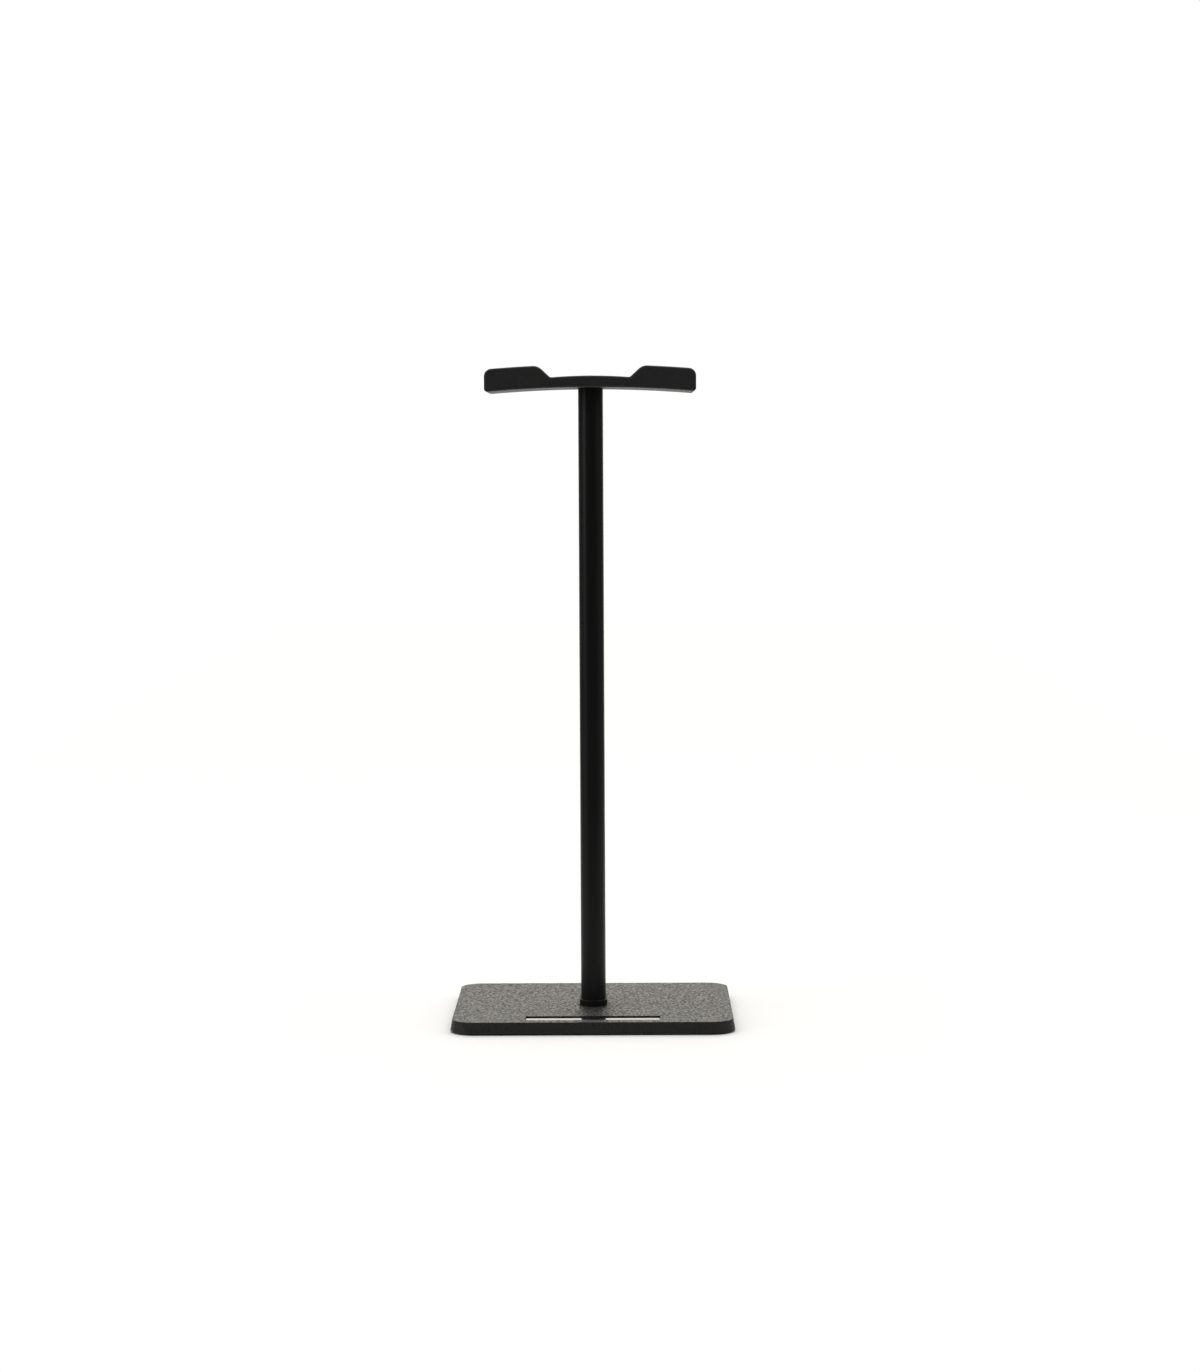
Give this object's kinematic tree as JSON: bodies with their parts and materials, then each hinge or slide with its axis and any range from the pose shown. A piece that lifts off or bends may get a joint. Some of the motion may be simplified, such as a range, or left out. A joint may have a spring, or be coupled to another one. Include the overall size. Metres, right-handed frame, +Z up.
{
  "type": "headphone stand",
  "caption": "Desktop headphone stand: thin rounded-rectangle weighted base, slim flat-oval post and an arched saddle with raised lips notched front and back.",
  "frame": {"origin": "centre of the base's footprint, on the surface that the feet stand on", "axes": "+X across the stand along the saddle, +Y to the back (the name strip is at the front, -Y), +Z up along the post"},
  "size_m": [0.1156, 0.0956, 0.2688],
  "materials": {
    "base_plastic": "black ABS with a fine pebbled texture on top, satin",
    "cover_plastic": "black ABS, plain fine matt",
    "strip_gloss": "gloss black acrylic, plain",
    "tape": "thin double-sided adhesive tape",
    "plate_steel": "zinc-plated sheet steel",
    "foot_rubber": "black silicone rubber",
    "post_anodised": "black anodised extrusion, satin",
    "collar_plastic": "black moulded ring, satin",
    "plug_plastic": "black glass-filled nylon",
    "insert_brass": "turned brass",
    "screw_steel": "zinc-plated steel screws",
    "saddle_plastic": "soft-touch black, satin",
    "mat_rubber": "black silicone rubber with fine cross grooves"
  },
  "bodies": {
    "root": {"base_shell": "base_plastic", "name_strip": "strip_gloss", "strip_tape": "tape", "weight_plate": "plate_steel", "base_cover": "cover_plastic", "foot_front_left": "foot_rubber", "foot_front_right": "foot_rubber", "foot_rear_left": "foot_rubber", "foot_rear_right": "foot_rubber", "foot_tapes": "tape", "post_tube": "post_anodised", "post_collar": "collar_plastic", "foot_plug": "plug_plastic", "head_plug": "plug_plastic", "foot_inserts": "insert_brass", "post_screws": "screw_steel", "saddle_screws": "screw_steel", "cover_screws": "screw_steel", "saddle": "saddle_plastic", "saddle_mat": "mat_rubber"}
  },
  "joints": []
}
